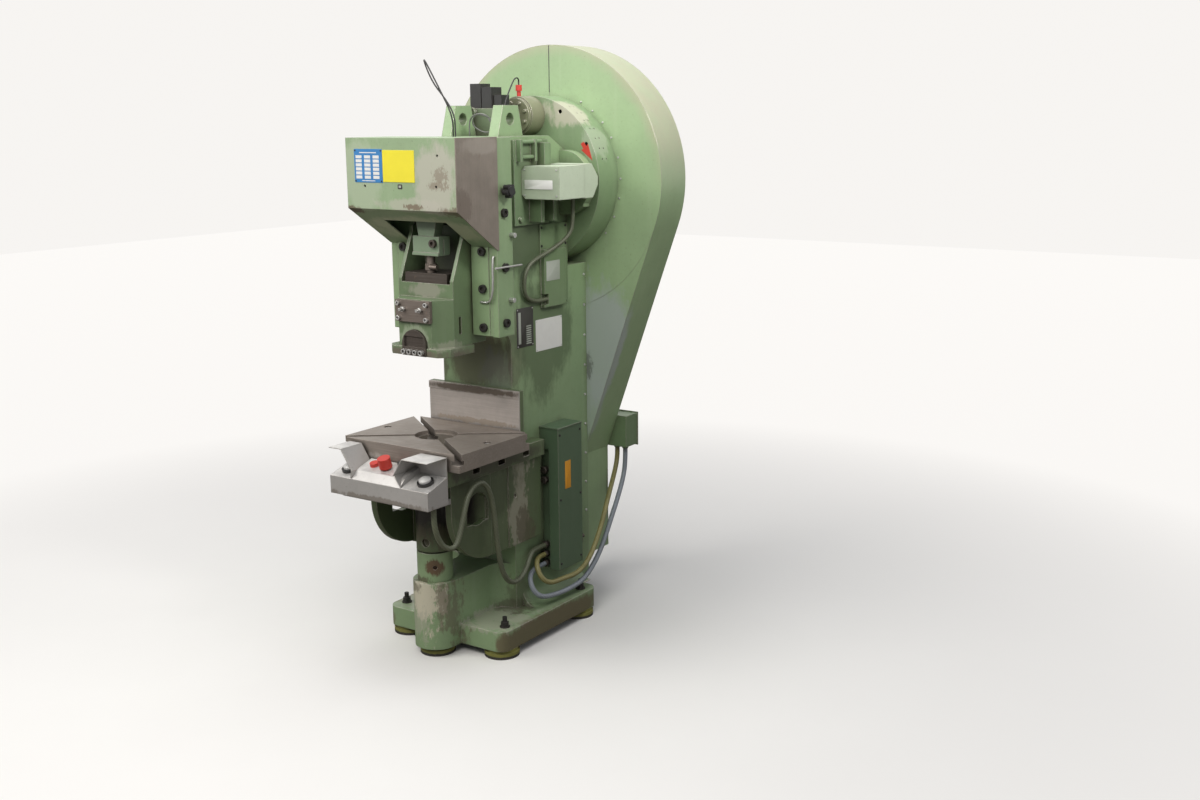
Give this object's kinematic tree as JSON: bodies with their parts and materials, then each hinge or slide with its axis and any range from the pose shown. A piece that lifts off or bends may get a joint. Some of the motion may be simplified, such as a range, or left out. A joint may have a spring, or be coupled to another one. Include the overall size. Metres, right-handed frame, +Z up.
{
  "type": "mechanical stamping press",
  "caption": "Open-front mechanical stamping press with a height-adjustable knee table, an eccentric-driven slide, a guarded flywheel and a two-hand console.",
  "frame": {"origin": "middle of the base plate's footprint, on the floor under the levelling mounts", "axes": "+Z up, -Y towards the operator, +X to the operator's right"},
  "size_m": [0.936, 1.2, 2.033],
  "materials": {
    "green_paint": "satin, worn",
    "grey_paint": "satin",
    "bare_steel": "machined, dull",
    "dark_steel": "oiled",
    "cast_iron": "machined",
    "hammer_paint": "hammered silver",
    "foot_rubber": "dull",
    "belt_rubber": "dull",
    "bronze": "machined",
    "black_plastic": "matt",
    "red_plastic": "semi-gloss",
    "black_jacket": "matt cable jacket",
    "olive_jacket": "matt conduit",
    "grey_jacket": "matt conduit",
    "aluminium": "turned"
  },
  "bodies": {
    "frame": {"frame_casting": "green_paint", "foot_pads": "foot_rubber", "foot_studs": "bare_steel", "side_cover": "green_paint", "gib_strips": "green_paint", "gib_bolts": "black_plastic", "shaft_bushes": "bronze", "motor": "grey_paint", "v_belts": "belt_rubber", "guard_left": "green_paint", "guard_right": "green_paint", "guard_back": "green_paint", "drum_cover": "green_paint", "chain_cover": "green_paint", "front_guard": "green_paint", "front_guard_side": "bare_steel", "switch_box": "grey_paint", "switch_bracket": "grey_paint", "valve_block": "grey_paint", "valve_coils": "black_plastic", "air_chamber": "grey_paint", "pressure_switch": "red_plastic", "air_unit": "dark_steel", "duct_box": "grey_paint", "cable_glands": "dark_steel", "terminal_box": "grey_paint", "console_conduit": "olive_jacket", "motor_conduit": "olive_jacket", "sensor_conduit": "grey_jacket", "switch_conduit": "black_jacket", "loop_cable": "black_jacket", "valve_wires": "grey_jacket", "air_hose": "black_jacket", "lube_pipes": "bare_steel"},
    "knee": {"knee_casting": "green_paint", "bolster_plate": "bare_steel", "throat_plate": "bare_steel", "jack_spindle": "dark_steel", "console_body": "hammer_paint", "console_hoods": "hammer_paint", "palm_rings": "black_plastic"},
    "nut": {"adjusting_nut": "green_paint"},
    "slide": {"slide_casting": "green_paint", "slide_cap_plate": "dark_steel", "slide_bolts": "bare_steel", "shank_clamp": "dark_steel", "ball_retainer": "dark_steel"},
    "rod": {"connecting_rod": "grey_paint", "ball_screw": "bare_steel", "rod_clamp_bolt": "dark_steel"},
    "shaft": {"eccentric_shaft": "bare_steel", "clutch_hub": "cast_iron"},
    "flywheel": {"flywheel": "cast_iron"},
    "rotor": {"motor_pulley": "cast_iron"},
    "palm_left": {"palm_button_left": "aluminium"},
    "palm_right": {"palm_button_right": "aluminium"},
    "start": {"start_button": "red_plastic"},
    "stop": {"stop_button": "red_plastic"},
    "key": {"key_switch": "black_plastic"},
    "knob": {"guard_knob": "black_plastic"}
  },
  "joints": [
    {"name": "knee_slide", "type": "slide", "parent": "frame", "child": "knee", "axis": [0, 0, 1], "range_m": [0, 0.07]},
    {"name": "nut_turn", "type": "hinge", "parent": "frame", "child": "nut", "pos_m": [0, -0.316, 0.29], "axis": [0, 0, 1], "range_deg": [0, 3152]},
    {"name": "ram_slide", "type": "slide", "parent": "frame", "child": "slide", "axis": [0, 0, 1], "range_m": [-0.04, 0]},
    {"name": "rod_swing", "type": "hinge", "parent": "slide", "child": "rod", "pos_m": [0, -0.284, 1.2], "axis": [0, 1, 0], "range_deg": [-2.98, 2.98]},
    {"name": "shaft_turn", "type": "hinge", "parent": "frame", "child": "shaft", "pos_m": [0, 0, 1.565], "axis": [0, 1, 0], "continuous": true},
    {"name": "flywheel_turn", "type": "hinge", "parent": "frame", "child": "flywheel", "pos_m": [0, 0.45, 1.565], "axis": [0, 1, 0], "continuous": true},
    {"name": "motor_turn", "type": "hinge", "parent": "frame", "child": "rotor", "pos_m": [0, 0.45, 0.606], "axis": [0, 1, 0], "continuous": true},
    {"name": "palm_left_press", "type": "slide", "parent": "knee", "child": "palm_left", "axis": [0, -0.3073, 0.9516], "range_m": [-0.006, 0], "stiffness_N_per_m": 900, "springref_m": 0.006},
    {"name": "palm_right_press", "type": "slide", "parent": "knee", "child": "palm_right", "axis": [0, -0.3073, 0.9516], "range_m": [-0.006, 0], "stiffness_N_per_m": 900, "springref_m": 0.006},
    {"name": "start_press", "type": "slide", "parent": "knee", "child": "start", "axis": [0, -0.2922, 0.9564], "range_m": [-0.004, 0], "stiffness_N_per_m": 500, "springref_m": 0.004},
    {"name": "stop_press", "type": "slide", "parent": "knee", "child": "stop", "axis": [0, -0.2922, 0.9564], "range_m": [-0.005, 0]},
    {"name": "key_turn", "type": "hinge", "parent": "knee", "child": "key", "pos_m": [0.03, -0.492, 0.69433], "axis": [0, -0.2922, 0.9564], "range_deg": [0, 90]},
    {"name": "knob_turn", "type": "hinge", "parent": "frame", "child": "knob", "pos_m": [0.225, -0.186, 1.556], "axis": [1, 0, 0], "range_deg": [-180, 180]}
  ],
  "couplings": [
    {"joint": "nut_turn", "follows": "knee_slide", "rad_per_m": 785.4},
    {"joint": "motor_turn", "follows": "flywheel_turn", "ratio": 5.0964}
  ]
}
